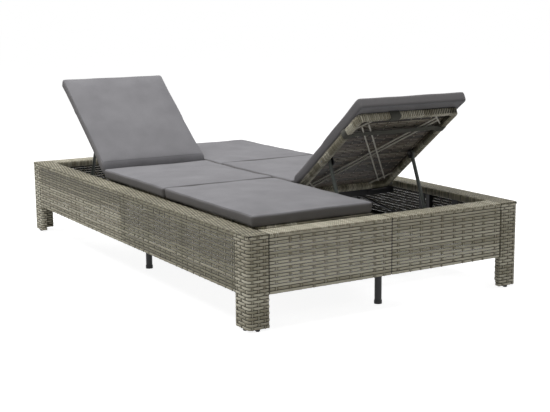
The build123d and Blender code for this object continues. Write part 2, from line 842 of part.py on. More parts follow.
def straps():
    """Two straps sewn to the back cushion: one across under the panel, one round the head tube."""
    gap = strap_fit
    t = strap_thick
    x0 = hinge_place + backrest_length - strap_from_head
    y0 = panel_in - gap
    y1 = panel_out + gap
    z0 = panel_bottom - gap
    inner_y0 = panel_in + edge + gap
    inner_y1 = panel_out - edge - gap
    deep = panel_top - rod_top_drop - 4 * rod_radius - gap
    cross = [
        (y0 - t, panel_top), (y0, panel_top), (y0, z0), (inner_y0, z0), (inner_y0, deep),
        (inner_y1, deep), (inner_y1, z0), (y1, z0), (y1, panel_top), (y1 + t, panel_top),
        (y1 + t, z0 - t), (inner_y1 - t, z0 - t), (inner_y1 - t, deep - t),
        (inner_y0 + t, deep - t), (inner_y0 + t, z0 - t), (y0 - t, z0 - t),
    ]
    across = prism_x(cross, x0, x0 + strap_width)
    head = hinge_place + backrest_length
    outer = head + gap
    inner = head - edge - gap
    top = panel_top - cane_drop - cane_thick - gap
    wrap = [
        (outer, panel_top), (outer, z0), (inner, z0), (inner, top), (inner - t, top),
        (inner - t, z0 - t), (outer + t, z0 - t), (outer + t, panel_top),
    ]
    middle = panel_in + head_strap_share * (panel_out - panel_in)
    loop = prism_y(wrap, middle - head_strap_width / 2, middle + head_strap_width / 2)
    both("cushion_straps", raised(Compound(children=[across, loop])))


def build():
    """Makes every node."""
    joining = module_bolts()
    hanging = rail_bolts()
    holes = [hole for whole, hole in joining + hanging]
    bed_modules(holes)
    nodes["frame_bolts"] = Compound(children=[whole for whole, hole in joining + hanging])
    nodes["centre_beam"] = centre_beam()
    hinge_rail = rail(hinge_rail_end - rail_width / 2, holes)
    both("hinge_rail", hinge_rail + brace())
    rails = [rail(place, holes) for place in rail_places()]
    nodes["cross_rails"] = Compound(children=rails + [other_lounger(shape) for shape in rails])
    legs_and_feet()
    fixed_panels()
    back_panel()
    hinge_pins()
    hinge_cradles()
    both("prop", prop())
    both("prop_pins", prop_pins())
    both("prop_brackets", prop_brackets())
    both("prop_rack", prop_rack())
    cushions()
    straps()


build()
os.makedirs("parts", exist_ok=True)
for name, shape in nodes.items():
    export_step(shape, f"parts/{name}.step")
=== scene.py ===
import json
import math
import random

import bpy
import numpy as np
from mathutils import Matrix, Vector
from mathutils.bvhtree import BVHTree


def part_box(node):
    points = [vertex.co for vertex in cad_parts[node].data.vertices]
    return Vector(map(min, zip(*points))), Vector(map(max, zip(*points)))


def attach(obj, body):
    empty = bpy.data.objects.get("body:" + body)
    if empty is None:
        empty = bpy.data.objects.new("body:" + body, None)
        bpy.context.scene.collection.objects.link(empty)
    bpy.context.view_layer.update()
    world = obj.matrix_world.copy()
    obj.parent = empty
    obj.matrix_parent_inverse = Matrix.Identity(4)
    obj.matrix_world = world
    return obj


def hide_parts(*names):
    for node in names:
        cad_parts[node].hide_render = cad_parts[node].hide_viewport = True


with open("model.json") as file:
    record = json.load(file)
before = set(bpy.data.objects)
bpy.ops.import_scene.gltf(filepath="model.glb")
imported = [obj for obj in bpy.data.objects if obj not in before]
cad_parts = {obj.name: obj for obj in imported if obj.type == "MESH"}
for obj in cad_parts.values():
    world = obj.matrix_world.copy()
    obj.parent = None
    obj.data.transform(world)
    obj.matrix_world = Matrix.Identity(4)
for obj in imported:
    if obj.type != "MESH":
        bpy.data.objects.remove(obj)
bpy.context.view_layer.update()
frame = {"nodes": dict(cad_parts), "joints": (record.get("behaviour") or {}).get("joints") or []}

# Looks of a double chaise lounger: woven strips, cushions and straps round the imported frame.
# Units are metres. Places come from the frame's own boxes; strip and seam sizes are named here.

# Places read from the frame
side_low, side_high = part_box("side_weave_1")
end_low, end_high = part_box("end_weave_1")
panel_low, panel_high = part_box("seat_panel_weave_2")
foot_low, foot_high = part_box("foot_panel_weave_2")
half_length = side_high.x
half_width = side_high.y
rim_height = side_high.z
leg_bottom = side_low.z
bay_side = side_low.y
bay_end = end_low.x
apron_bottom = end_low.z
seam = side_low.x
edge = panel_high.z - panel_low.z
panel_in = panel_low.y
panel_out = panel_high.y
hinge = Vector(next(j["pos_m"] for j in frame["joints"] if j["name"] == "backrest_2_recline"))

# Bed
column_length = 0.090
column_round = 0.013
rim_round = 0.005

# Backrest, which is modelled lying flat and then raised
rest_angle = math.radians(37.5)
backrest_length = 0.552
panel_corner = 0.022
wrap_round = 0.006

# Strips of the weave
strip_pitch = 0.0108
strip_share = 0.985
strip_thick = 0.0023
strip_swing = 0.0017
station_apart = 0.0008
tone_jitter = 0.12
new_tone_chance = 0.45
crossing = 0.009
crossing_shade = 0.65
stake_pitch = 0.046
stake_width = 0.0050
stake_thick_share = 0.7
stake_jitter = 0.005
column_stake_pitch = 0.024
skin_middle = 0.0034
rim_pitch = 0.0070
rim_share = 0.96
twill_pitch = 0.012
twill_step = 0.003
twill_swing = 0.0012
twill_shade = 0.42
twill_lean = 0.26
rim_seat = 0.0016
rim_tuck = 0.0045
rim_start = 0.001
rim_thick_share = 0.8
hem_tones = (0.1, 0.6)
rim_tones = (0.1, 0.45)
end_rim_tones = (0.45, 0.85)
wrap_pitch = 0.0080
cane_thick = 0.0015
cane_swing = 0.0011
cane_drop = 0.0028
cane_inset = 0.010
seam_round = 0.004
leg_round = 0.004
bay_clearance = 0.0005
strand_spread = 40.0
wrap_share = 0.94
wrap_seat = 0.0013
wrap_advance = 0.9
wrap_run = 5
# Painted light: strips of the short ends are lighter than those of the long sides, as if the ends were
# lit more brightly
end_lit_tones = (0.64, 1.0)
column_lift = 0.5

# Section of a strip: share of its half width across it, share of its thickness above its seat,
# and the mark across that its finish reads, which is 3 in the middle of its hidden face, where the finish
# paints shade
strip_section = np.array([(-1.0, 0.0, -1.0), (-0.84, 0.74, -0.84), (0.0, 1.0, 0.0),
                          (0.84, 0.74, 0.84), (1.0, 0.0, 1.0), (0.0, 0.0, 3.0)])

# Cushions
cushion_thick = 0.040
cushion_lift = 0.0003
cushion_cell = 0.018
cushion_margins = (0.0, 0.002, 0.005, 0.009, 0.015)
cushion_shrink = 0.001
cushion_cap = 0.007
cushion_edge = 0.009
cushion_corner = 0.014
cushion_undercut = 0.004
cushion_ripple = 0.0011
cushion_fold_round = 0.0145
cushion_fold_gap = 0.002
cushion_overhang = 0.041
cushion_fold_angle = math.radians(45)
cover_frames = 20
cover_pressure = 4.0
seam_inset = 0.002
seam_sink = 0.0003
seam_count = 160
seam_width = 0.0018
seam_thick = 0.0006

# Straps
strap_thick = 0.0012
strap_fit = 0.0003
strap_width = 0.030
head_strap_width = 0.046
head_strap_share = 0.35
strap_from_head = 0.130
strap_depth = 0.0185

# Camera of the photograph, in pixels of its 550 x 412 frame and in metres
image_width = 550
focal_pixels = 1134.81
sensor = 36.0
camera_place = Vector((4.0215, -2.2755, 1.0511))
camera_yaw = 2.60141
camera_pitch = -0.18155
camera_roll = -0.00918

# Light and floor
world_light = 0.2
lamp_place = Vector((-0.6, -0.6, 4.2))
lamp_size = 5.0
lamp_power = 215.0
lamp_aim = Vector((0, 0, 0.3))
floor_reach = 30.0
floor_matt = (0.45, 0.45, 0.45, 1)
floor_glow = 0.91
floor_plain = (0.6, 0.6, 0.6, 1)

draw = random.Random(7)


# Meshes

def make_piece(name, points, faces, material, body):
    """New piece of the scene that rides on a body."""
    mesh = bpy.data.meshes.new(name)
    mesh.from_pydata(points, [], faces)
    mesh.polygons.foreach_set("use_smooth", [True] * len(mesh.polygons))
    mesh.update()
    piece = bpy.data.objects.new(name, mesh)
    bpy.context.scene.collection.objects.link(piece)
    mesh.materials.append(material)
    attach(piece, body)
    return piece


class Strands:
    """Strips gathered into one mesh, each point marked with its place along and across and a tone."""

    def __init__(self):
        self.points = []
        self.faces = []
        self.marks = []
        self.count = 0

    def add(self, path, normals, width, thick, tone, closed=False):
        """One strip of convex section along a path, its outer face towards the normals."""
        path = np.asarray(path, float)
        normals = np.asarray(normals, float)
        if closed:
            ahead = np.roll(path, -1, 0) - np.roll(path, 1, 0)
        else:
            ahead = np.gradient(path, axis=0)
        tangent = ahead / np.linalg.norm(ahead, axis=1)[:, None]
        side = np.cross(tangent, normals)
        side /= np.linalg.norm(side, axis=1)[:, None]
        up = np.cross(side, tangent)
        across = strip_section[:, 0] * width / 2
        height = strip_section[:, 1] * thick
        ring = (path[:, None, :] + across[None, :, None] * side[:, None, :]
                + height[None, :, None] * up[:, None, :])
        steps = np.linalg.norm(np.diff(path, axis=0), axis=1)
        along = np.concatenate([[0.0], np.cumsum(steps)]) + draw.uniform(0, strand_spread)
        size = len(strip_section)
        first = self.count
        runs = len(path) if closed else len(path) - 1
        for i in range(runs):
            here = first + i * size
            there = first + (i + 1) % len(path) * size
            for j in range(size):
                k = (j + 1) % size
                self.faces.append((here + j, here + k, there + k, there + j))
        if not closed:
            last = first + (len(path) - 1) * size
            self.faces.append(tuple(range(first + size - 1, first - 1, -1)))
            self.faces.append(tuple(range(last, last + size)))
        self.points.append(ring.reshape(-1, 3))
        marks = np.zeros((len(path), size, 3))
        marks[:, :, 0] = along[:, None]
        marks[:, :, 1] = strip_section[None, :, 2]
        marks[:, :, 2] = np.broadcast_to(tone, len(path))[:, None]
        self.marks.append(marks.reshape(-1, 3))
        self.count += len(path) * size

    def piece(self, name, material, body, slot="rattan", turn=None):
        """Makes the mesh, turned by a matrix if one is given."""
        points = np.concatenate(self.points)
        if turn is not None:
            grid = np.array(turn)
            points = points @ grid[:3, :3].T + grid[:3, 3]
        made = make_piece(name, points.tolist(), self.faces, material, body)
        marks = made.data.attributes.new("strand", "FLOAT_VECTOR", "POINT")
        marks.data.foreach_set("vector", np.concatenate(self.marks).astype(np.float32).ravel())
        return made


class Track:
    """Plan line with rounded corners, read by its length: points and outward normals."""

    def __init__(self, corners, radii, closed=False):
        corners = [np.array(c, float) for c in corners]
        line = []
        for i, corner in enumerate(corners):
            radius = radii[i]
            ends = not closed and i in (0, len(corners) - 1)
            if radius == 0 or ends:
                line.append(corner)
                continue
            before = corners[i - 1] - corner
            after = corners[(i + 1) % len(corners)] - corner
            before /= np.linalg.norm(before)
            after /= np.linalg.norm(after)
            half = math.acos(max(-1.0, min(1.0, before @ after))) / 2
            reach = radius / math.tan(half)
            middle = corner + (before + after) / np.linalg.norm(before + after) * radius / math.sin(half)
            start = corner + before * reach - middle
            stop = corner + after * reach - middle
            sweep = math.pi - 2 * half
            turn = math.copysign(1, start[0] * stop[1] - start[1] * stop[0])
            for step in range(5):
                angle = turn * sweep * step / 4
                c, s = math.cos(angle), math.sin(angle)
                line.append(middle + np.array([c * start[0] - s * start[1], s * start[0] + c * start[1]]))
        if closed:
            line.append(line[0])
        self.line = np.array(line)
        steps = np.linalg.norm(np.diff(self.line, axis=0), axis=1)
        self.marks = np.concatenate([[0.0], np.cumsum(steps)])
        self.length = self.marks[-1]
        ahead = np.diff(self.line, axis=0) / steps[:, None]
        flat = np.vstack([ahead, ahead[0] if closed else ahead[-1]])
        back = np.vstack([ahead[-1] if closed else ahead[0], ahead])
        mean = flat + back
        mean /= np.linalg.norm(mean, axis=1)[:, None]
        self.normals = np.stack([-mean[:, 1], mean[:, 0]], 1)

    def at(self, s):
        """Points and outward normals (to the left of the line's run) at lengths s."""
        points = np.stack([np.interp(s, self.marks, self.line[:, i]) for i in (0, 1)], 1)
        normals = np.stack([np.interp(s, self.marks, self.normals[:, i]) for i in (0, 1)], 1)
        return points, normals / np.linalg.norm(normals, axis=1)[:, None]


# Weaving

def weave_bands(rows, stakes, short=False):
    """Which strips pass over which stakes: +1 over, -1 under; the order flips at chosen stakes."""
    order = np.ones((rows, stakes))
    row = 0
    while row < rows:
        deep = draw.choice((6, 8, 10))
        flip = 1
        stake = 0
        while stake < stakes:
            run = 1 if short else draw.choice((1, 3, 4, 5))
            for r in range(row, min(rows, row + deep)):
                sign = 1 if r % 2 == 0 else -1
                order[r, stake:stake + run] = sign * flip
            flip = -flip
            stake += run
        row += deep
    return order


def swing(s, places, signs):
    """Height of a strip off its middle line: it bends over or under a stake only close to it."""
    level = np.zeros(len(s))
    for place, sign in zip(places, signs):
        near = np.clip(np.abs(s - place) / crossing, 0, 1)
        level += sign * (1 + np.cos(np.pi * near)) / 2
    return np.clip(level, -1, 1)


def stations(start, stop, places, extra=()):
    """Lengths at which a strip has a ring: its ends, round each stake and at the extra ones."""
    found = [start]
    for p in places:
        found += [p + crossing * share for share in (-1, -0.5, 0, 0.5, 1)]
    found += list(extra)
    found = sorted(value for value in found if start <= value < stop)
    kept = [found[0]]
    for value in found[1:]:
        if value - kept[-1] > station_apart:
            kept.append(value)
    if stop - kept[-1] < station_apart:
        kept.pop()
    return np.array(kept + [stop])


def weave(strands, place, start, stop, rows, places, order, extra=(), tones=(0.15, 0.7),
          stake_tones=(0.58, 0.88), lift=(1e9, 0.0), thick=strip_thick, bow=strip_swing):
    """Strips along s at each row, over and under stakes across them; lift is (start, more tone)."""
    places = np.array(places)
    rows = np.array(rows)
    pitch = (rows[-1] - rows[0]) / (len(rows) - 1)
    run = draw.uniform(*tones)
    for r, q in enumerate(rows):
        if draw.random() < new_tone_chance:
            run = draw.uniform(*tones)
        s = stations(start, stop, places, extra)
        points, normals = place(s, np.full(len(s), q))
        level = swing(s, places, order[r])
        points = points + normals * (level * bow)[:, None]
        # Painted shade: a strip's tone is darker where it dips under a stake
        tone = run + draw.uniform(-tone_jitter, tone_jitter) - crossing_shade * np.maximum(-level, 0)
        tone = tone + lift[1] * (s > lift[0])
        strands.add(points, normals, pitch * strip_share, thick, np.clip(tone, 0, 1))
    low, high = rows[0] - pitch / 2, rows[-1] + pitch / 2
    for k, s in enumerate(places):
        q = [low]
        for a, b in zip(rows, rows[1:]):
            q += [a, (a + b) / 2]
        q = np.array(q + [rows[-1], high])
        points, normals = place(np.full(len(q), s), q)
        level = np.interp(q, rows, -order[:len(rows), k])
        points = points + normals * (level * bow)[:, None]
        strands.add(points, normals, stake_width, thick * stake_thick_share,
                    draw.uniform(*stake_tones))


def spread(start, stop, pitch, jitter=0.0):
    """Places between two lengths, evenly apart near a pitch, each moved a little."""
    count = max(1, round((stop - start) / pitch))
    step = (stop - start) / count
    return [start + (i + 0.5) * step + draw.uniform(-jitter, jitter) for i in range(count)]


def upright_place(track, depth):
    """Seat of an upright woven wall: s runs along the track and q is the height."""
    def place(s, q):
        points, normals = track.at(s)
        points = points - normals * depth
        flat = np.zeros(len(s))
        return np.column_stack([points, q]), np.column_stack([normals, flat])
    return place


def ribbed(profile, s, lean):
    """A rim's outline, its top part cut finely, and the twill's height at each point, -1 to 1."""
    level = max(z for d, z in profile)
    flat = [k for k, (d, z) in enumerate(profile) if z == level]
    first, last = profile[flat[0]], profile[flat[-1]]
    count = round((last[0] - first[0]) / twill_step)
    top = [(first[0] + (last[0] - first[0]) * i / count, first[1]) for i in range(count + 1)]
    outline = profile[:flat[0]] + top + profile[flat[-1] + 1:]
    up = [0.0] * flat[0]
    up += [math.sin(2 * math.pi * (d + lean * s) / twill_pitch) for d, z in top]
    up += [0.0] * (len(outline) - len(up))
    return outline, np.array(up)


def bend(strands, track, stations_s, profile, width, tones, limit=None, lean=None):
    """Short strips laid across a rim along an outline of (depth, height) from outside to inside.

    A limit changes the outline by place along the rim, and a lean gives it a twill that slants.
    """
    for s in stations_s:
        point, normal = track.at(np.array([s]))
        point, normal = point[0], normal[0]
        outline = profile if limit is None else limit(profile, s)
        up = 0.0
        if lean is not None:
            outline, up = ribbed(outline, s, lean)
        depth = np.array([d for d, z in outline])
        z = np.array([h for d, h in outline]) + twill_swing * np.minimum(up, 0)
        path = np.column_stack([point[None, :] - depth[:, None] * normal[None, :], z])
        run = np.gradient(path, axis=0)
        along = np.array([-normal[1], normal[0], 0.0])
        facing = np.cross(run, along)
        facing /= np.linalg.norm(facing, axis=1)[:, None]
        if facing[len(facing) // 2, 2] < 0:
            facing = -facing
        # Painted light and shade: a strip is lighter where the twill stands up and darker where it sinks
        tone = np.clip(draw.uniform(*tones) + twill_shade * up, 0, 1)
        strands.add(path, facing, width, strip_thick * rim_thick_share, tone)


def rim_profile(width, lip=True):
    """Outline of the rim, (depth, height), from behind the wall's top row to below its lip."""
    top = rim_height - rim_seat
    r = rim_round
    points = [(0.0050, top - 0.010), (0.0024, top - rim_tuck), (0.0020, top - 0.002),
              (0.0034, top - 0.0004), (r, top), (width * 0.3, top), (width * 0.7, top)]
    if not lip:
        return points + [(width - 0.001, top), (width, top - 0.006)]
    low = rim_height - edge
    return points + [(width - r, top), (width - r * 0.3, top - r * 0.3), (width, top - r),
                     (width, low + 0.003), (width - 0.003, low), (width - edge, low)]


def hem_profile():
    """Outline of the hem, (depth, height), round the low tube from the wall's foot to its inner top."""
    low = apron_bottom
    return [(0.003, low + 0.006), (0.004, low + 0.001), (edge / 2, low), (edge - 0.003, low + 0.001),
            (edge, low + 0.004), (edge, low + edge - 0.003), (edge - 0.004, low + edge)]


def side_module(number, sx, sy, material):
    """Woven skin of one half of a long side with its corner column, in the quadrant sx, sy."""
    strands = Strands()
    s_in = seam_round
    run = [(seam, half_width - s_in * 2), (seam, half_width), (half_length, half_width),
           (half_length, bay_side + bay_clearance), (half_length - s_in * 2, bay_side + bay_clearance)]
    track = Track(run, (0, s_in, column_round, s_in, 0))
    column_start = half_length - column_length
    straight = 2 * s_in + (column_start - seam) - 0.4 * s_in
    corner_s = track.length - (half_width - bay_side) - 2 * s_in
    places = spread(0.012, straight, stake_pitch, stake_jitter)
    places += spread(straight, corner_s - 0.004, column_stake_pitch)
    places += spread(corner_s + 0.006, track.length - 0.012, column_stake_pitch)
    rows = spread(apron_bottom, rim_height - rim_tuck, strip_pitch)
    order = weave_bands(len(rows), len(places))
    tail = weave_bands(len(rows), len(places), short=True)
    columns = [k for k, p in enumerate(places) if p > straight]
    order[:, columns] = tail[:, columns]
    weave(strands, upright_place(track, skin_middle), 0.0, track.length, rows, places, order,
          extra=track.marks, lift=(straight, column_lift))

    leg_corners = [(column_start, half_width), (half_length, half_width), (half_length, bay_side),
                   (half_length - edge, bay_side), (half_length - edge, half_width - edge),
                   (column_start, half_width - edge)]
    leg_track = Track(leg_corners, (leg_round, column_round, leg_round, leg_round, 0.003, leg_round),
                      closed=True)
    fine = np.linspace(0, leg_track.length, 1200)
    plan = leg_track.at(fine)[0]
    above = track.at(np.array([p for p in places if p > straight]))[0]
    leg_places = [fine[np.argmin(((plan - spot) ** 2).sum(1))] for spot in above]
    leg_places = sorted(set(leg_places))
    leg_places += spread(leg_places[-1] + column_stake_pitch / 2, leg_track.length - 0.004,
                         column_stake_pitch)
    leg_rows = spread(leg_bottom, apron_bottom, strip_pitch)
    leg_order = weave_bands(len(leg_rows), len(leg_places), short=True)
    weave(strands, upright_place(leg_track, skin_middle), 0.0, leg_track.length, leg_rows, leg_places,
          leg_order, extra=leg_track.marks, lift=(0.0, column_lift))
    inner_corners = leg_corners[2:] + leg_corners[:1]
    inner_track = Track(inner_corners, (0, leg_round, 0.003, leg_round, 0))
    inner_places = spread(0.004, inner_track.length, column_stake_pitch)
    inner_rows = spread(apron_bottom, rim_height - edge, strip_pitch)
    inner_order = weave_bands(len(inner_rows), len(inner_places), short=True)
    weave(strands, upright_place(inner_track, skin_middle), 0.0, inner_track.length, inner_rows,
          inner_places, inner_order, extra=inner_track.marks)

    top_track = Track([(seam, half_width), (half_length, half_width)], (0, 0))
    width = half_width - bay_side

    def limit(profile, s):
        x = seam + s
        over = x - (half_length - column_round)
        drop = column_round - math.sqrt(max(0.0, column_round ** 2 - over ** 2)) if over > 0 else 0.0
        if x > bay_end:
            profile = rim_profile(width - 0.001, lip=False)
        return [(d + drop * (1 - d / width), z) for d, z in profile]

    bend(strands, top_track, spread(rim_start, top_track.length - rim_start, rim_pitch),
         rim_profile(width), rim_pitch * rim_share, rim_tones, limit, lean=-twill_lean * sx * sy)
    hook_track = Track([(half_length, half_width - column_round), (half_length, bay_side)], (0, 0))
    bend(strands, hook_track, spread(rim_start, hook_track.length - rim_start, rim_pitch),
         rim_profile(width)[:5] + [(0.010, rim_height - rim_seat)], rim_pitch * rim_share, rim_tones)
    hem_track = Track([(seam, half_width), (column_start, half_width)], (0, 0))
    bend(strands, hem_track, spread(rim_start, hem_track.length, rim_pitch), hem_profile(),
         rim_pitch * rim_share, hem_tones)
    finish_module(strands, f"side_strips_{number}", f"side_weave_{number}", sx, sy, material)


def end_module(number, sx, sy, material):
    """Woven skin of one half of a short end, in the quadrant sx, sy."""
    strands = Strands()
    s_in = seam_round
    stop = end_high.y
    run = [(half_length - s_in * 2, stop), (half_length, stop), (half_length, seam),
           (half_length - s_in * 2, seam)]
    track = Track(run, (0, s_in, s_in, 0))
    places = spread(0.010, track.length - 0.010, stake_pitch, stake_jitter)
    rows = spread(apron_bottom, rim_height - rim_tuck, strip_pitch)
    order = weave_bands(len(rows), len(places))
    # The end's strips take the lighter tones that stand in for painted light
    weave(strands, upright_place(track, skin_middle), 0.0, track.length, rows, places, order,
          extra=track.marks, tones=end_lit_tones)
    top_track = Track([(half_length, stop), (half_length, seam)], (0, 0))
    bend(strands, top_track, spread(rim_start, top_track.length - rim_start, rim_pitch),
         rim_profile(half_length - bay_end), rim_pitch * rim_share, end_rim_tones,
         lean=-twill_lean * sx * sy)
    bend(strands, top_track, spread(rim_start, top_track.length - rim_start, rim_pitch),
         hem_profile(), rim_pitch * rim_share, hem_tones)
    finish_module(strands, f"end_strips_{number}", f"end_weave_{number}", sx, sy, material)


def finish_module(strands, name, node, sx, sy, material):
    """Makes a module in its quadrant; a mirrored one has its faces turned back to front."""
    if sx * sy < 0:
        strands.faces = [face[::-1] for face in strands.faces]
    piece = strands.piece(name, material, "bed", turn=Matrix.Diagonal((sx, sy, 1, 1)))
    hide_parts(node)


# Panels

def loop_lines(x0, x1, y0, y1, corner, pitch):
    """Matched points of a panel's loop, outer and inner, one pair for each turn of its wrap."""
    outer, inner = [], []
    r_in = corner / 2
    centres = [(1, 1), (-1, 1), (-1, -1), (1, -1)]
    ends = []
    for quarter, (cx, cy) in enumerate(centres):
        mx, my = (x1 if cx > 0 else x0), (y1 if cy > 0 else y0)
        out = np.array([mx - cx * corner, my - cy * corner])
        inn = np.array([mx - cx * (edge + r_in), my - cy * (edge + r_in)])
        start = quarter * math.pi / 2
        count = max(3, round(corner * math.pi / 2 / pitch))
        arc = []
        for i in range(count + 1):
            angle = start + math.pi / 2 * i / count
            ray = np.array([math.cos(angle), math.sin(angle)])
            arc.append((out + corner * ray, inn + r_in * ray))
        ends.append(arc)
    for quarter, arc in enumerate(ends):
        for pair in arc:
            outer.append(pair[0])
            inner.append(pair[1])
        following = ends[(quarter + 1) % 4][0]
        gap = np.linalg.norm(following[0] - arc[-1][0])
        count = max(1, round(gap / pitch))
        for i in range(1, count):
            t = i / count
            outer.append(arc[-1][0] * (1 - t) + following[0] * t)
            inner.append(arc[-1][1] * (1 - t) + following[1] * t)
    return np.array(outer), np.array(inner)


def wrap_loop(strands, x0, x1, y0, y1, corner, rounding, pitch, tones):
    """Strip wound round the tube loop of a panel, one turn after another."""
    outer, inner = loop_lines(x0, x1, y0, y1, corner, pitch)
    middle_z = (panel_low.z + panel_high.z) / 2
    half = edge / 2
    ring = []
    seat = half - wrap_seat
    for start, cx, cz in ((-45, 1, 1), (45, -1, 1), (135, -1, -1), (225, 1, -1)):
        for step in (0.15, 0.5, 0.85):
            angle = math.radians(start + 45 + 90 * (step - 0.5))
            ring.append((cx * (seat - rounding) + rounding * math.cos(angle),
                         cz * (seat - rounding) + rounding * math.sin(angle),
                         math.cos(angle), math.sin(angle)))
    count = len(outer)
    for turn in range(count):
        points, normals = [], []
        following = (turn + 1) % count
        for i in range(len(ring) + 1):
            a, b, na, nb = ring[(i + 1) % len(ring)]
            t = i / len(ring) * wrap_advance
            out = outer[turn] * (1 - t) + outer[following] * t
            inn = inner[turn] * (1 - t) + inner[following] * t
            ray = out - inn
            flat = inn + ray * (a + half) / edge
            ray = ray / np.linalg.norm(ray)
            points.append((flat[0], flat[1], middle_z + b))
            normals.append((ray[0] * na, ray[1] * na, nb))
        if turn % wrap_run == 0:
            run = draw.uniform(*tones)
        tone = min(1.0, max(0.0, run + draw.uniform(-0.2, 0.2)))
        strands.add(points, normals, pitch * wrap_share, strip_thick * stake_thick_share, tone)


def cane_field(strands, x0, x1, tones):
    """Woven field inside a panel's loop, its strips across the lounger and its stakes along it."""
    z = panel_high.z - cane_drop
    inset = edge - cane_inset

    def place(s, q):
        flat = np.zeros(len(s))
        return (np.column_stack([q, s, flat + z]),
                np.column_stack([flat, flat, flat - 1]))
    start, stop = panel_in + inset, panel_out - inset
    rows = spread(x0 + inset, x1 - inset, strip_pitch)
    places = spread(start, stop, stake_pitch, 0.004)
    order = weave_bands(len(rows), len(places))
    weave(strands, place, start, stop, rows, places, order, tones=tones, stake_tones=(0.5, 1.0),
          thick=cane_thick, bow=cane_swing)


def flip_to(lounger):
    """Half turn about Z for lounger 1, none for lounger 2."""
    return Matrix.Rotation(math.pi, 4, "Z") if lounger == 1 else Matrix.Identity(4)


def raise_back(lounger):
    """Turns what is modelled flat up to the rest angle, on its own lounger."""
    to_hinge = Matrix.Translation(Vector((hinge.x, 0, hinge.z)))
    return flip_to(lounger) @ to_hinge @ Matrix.Rotation(-rest_angle, 4, "Y") @ to_hinge.inverted()


def panels(material, cane):
    """Seat, foot and back panels of both loungers."""
    for lounger in (1, 2):
        for name, low, high in (("seat", panel_low, panel_high), ("foot", foot_low, foot_high)):
            strands = Strands()
            wrap_loop(strands, low.x, high.x, panel_in, panel_out, panel_corner / 2, 0.002,
                      wrap_pitch, (0.1, 0.9))
            cane_field(strands, low.x, high.x, (0.05, 0.7))
            piece = strands.piece(f"{name}_panel_strips_{lounger}", material, "bed",
                                  turn=flip_to(lounger))
            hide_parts(f"{name}_panel_weave_{lounger}")
        x0 = hinge.x - edge / 2
        x1 = hinge.x + backrest_length
        wrap = Strands()
        wrap_loop(wrap, x0, x1, panel_in, panel_out, panel_corner, wrap_round, wrap_pitch, (0.4, 1.0))
        piece = wrap.piece(f"backrest_wrap_strips_{lounger}", material, f"backrest_{lounger}",
                           turn=raise_back(lounger))
        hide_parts(f"backrest_wrap_{lounger}")
        field = Strands()
        cane_field(field, x0, x1, (0.0, 0.75))
        piece = field.piece(f"backrest_cane_strips_{lounger}", cane, f"backrest_{lounger}",
                            turn=raise_back(lounger))
        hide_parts(f"backrest_cane_{lounger}")


# Cushions

def slab(x0, x1, y0, y1, slope):
    """Closed block with rounded corners and edges, its quads finest by its edges: its points, its
    faces and which points are on its boxing."""
    k = cushion_shrink
    height = cushion_thick - 2 * k

    def cuts(length):
        inner = length - 2 * cushion_margins[-1]
        count = round(inner / cushion_cell)
        middle = [cushion_margins[-1] + inner * i / count for i in range(1, count)]
        return list(cushion_margins) + middle + [length - m for m in cushion_margins[::-1]]
    size = np.array([x1 - x0 - 2 * k, y1 - y0 - 2 * k, height])
    xs, ys = cuts(size[0]), cuts(size[1])
    zs = list(cushion_margins[:-1]) + [height / 2] + [height - m for m in cushion_margins[::-1]]
    index, points, faces = {}, [], []

    def corner(i, j, m):
        if (i, j, m) not in index:
            index[(i, j, m)] = len(points)
            points.append((xs[i], ys[j], zs[m]))
        return index[(i, j, m)]

    def quad(*spots):
        faces.append([corner(*spot) for spot in spots])

    nx, ny, nz = len(xs) - 1, len(ys) - 1, len(zs) - 1
    for i in range(nx):
        for j in range(ny):
            quad((i, j, nz), (i + 1, j, nz), (i + 1, j + 1, nz), (i, j + 1, nz))
            quad((i, j, 0), (i, j + 1, 0), (i + 1, j + 1, 0), (i + 1, j, 0))
    for m in range(nz):
        for i in range(nx):
            quad((i, 0, m), (i + 1, 0, m), (i + 1, 0, m + 1), (i, 0, m + 1))
            quad((i, ny, m), (i, ny, m + 1), (i + 1, ny, m + 1), (i + 1, ny, m))
        for j in range(ny):
            quad((0, j, m), (0, j, m + 1), (0, j + 1, m + 1), (0, j + 1, m))
            quad((nx, j, m), (nx, j + 1, m), (nx, j + 1, m + 1), (nx, j, m + 1))
    grid = np.array(points)
    flat = grid[:, :2]
    core = np.clip(flat, cushion_corner, size[:2] - cushion_corner)
    out = flat - core
    reach = np.abs(out).max(1)
    length = np.maximum(np.linalg.norm(out, axis=1), 1e-9)
    ray = out / length[:, None]
    flat = core + ray * reach[:, None]
    inset = np.where(reach > 0, cushion_corner - reach, cushion_corner)
    z = grid[:, 2]
    fold = (flat[:, 0] < size[0] / 2) & (slope > 0)
    for side in (0, 1):
        e = np.where(fold & (side == 1), cushion_fold_round, cushion_edge)
        level = z if side == 0 else height - z
        near = (inset < e) & (level < e)
        away = np.stack([e - inset, e - level], 1)
        away /= np.maximum(np.linalg.norm(away, axis=1), 1e-9)[:, None]
        pull = np.where(near, e * (1 - away[:, 0]) - inset, 0.0)
        rise = np.where(near, e * (1 - away[:, 1]) - level, 0.0)
        flat = flat - ray * pull[:, None]
        z = z + rise if side == 0 else z - rise
    under = cushion_undercut * np.clip(1 - z / height, 0, 1) * (reach > 0)
    flat = flat - ray * under[:, None]
    lean = slope * z * np.clip(1 - flat[:, 0] / (size[0] / 2), 0, 1)
    done = np.column_stack([flat[:, 0] + x0 + k + lean, flat[:, 1] + y0 + k, z + k])
    boxing = (inset < cushion_margins[1] / 2) & ~(fold & (ray[:, 0] < -0.5))
    return done.tolist(), faces, boxing.tolist()


